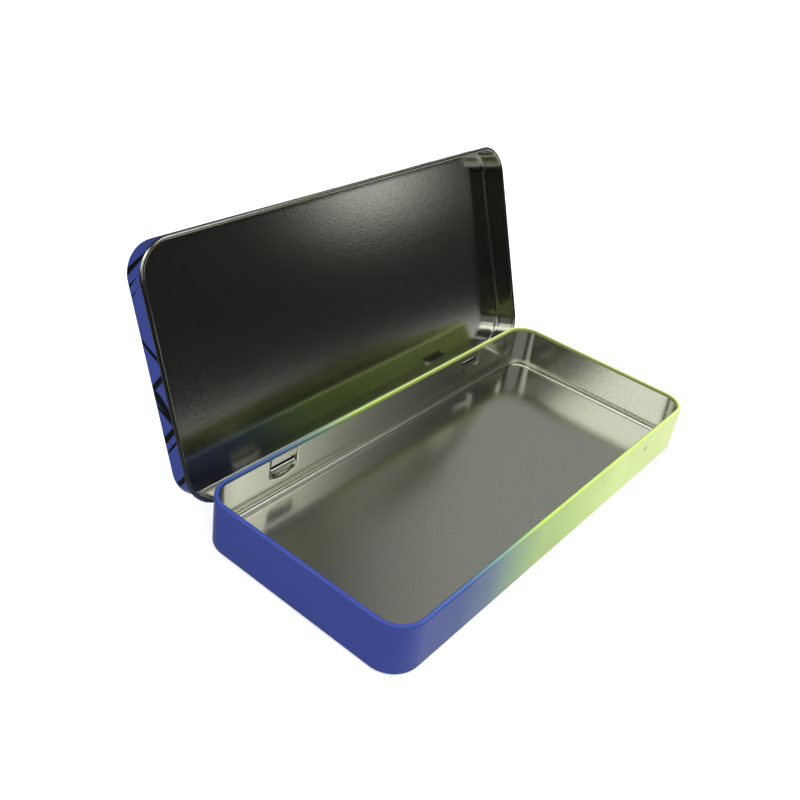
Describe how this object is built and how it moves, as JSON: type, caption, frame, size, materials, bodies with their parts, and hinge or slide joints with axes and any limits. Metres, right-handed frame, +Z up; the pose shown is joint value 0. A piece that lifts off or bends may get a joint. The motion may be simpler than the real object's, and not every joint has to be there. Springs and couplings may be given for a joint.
{
  "type": "hinged tin box",
  "caption": "Rectangular hinged tin with rounded corners, lid open: a shallow bare-metal tray with a rolled rim and a slip-over lid that turns on rolled tongues in the rear wall.",
  "frame": {"origin": "centre of the base, on the plane of the foot ring that it stands on", "axes": "+X along the length, +Y towards the hinge, +Z up; the front wall with the snap bumps faces -Y"},
  "size_m": [0.1936, 0.1248, 0.0955],
  "materials": {
    "base": "semi-gloss print outside, bare tinplate inside",
    "lid": "semi-gloss print outside, bare tinplate inside"
  },
  "bodies": {
    "base": {"base": "base"},
    "lid": {"lid": "lid"}
  },
  "joints": [
    {"name": "lid_hinge", "type": "hinge", "parent": "base", "child": "lid", "pos_m": [0, 0.04405, 0.01163], "axis": [-1, 0, 0], "range_deg": [-109.4, 0]}
  ]
}
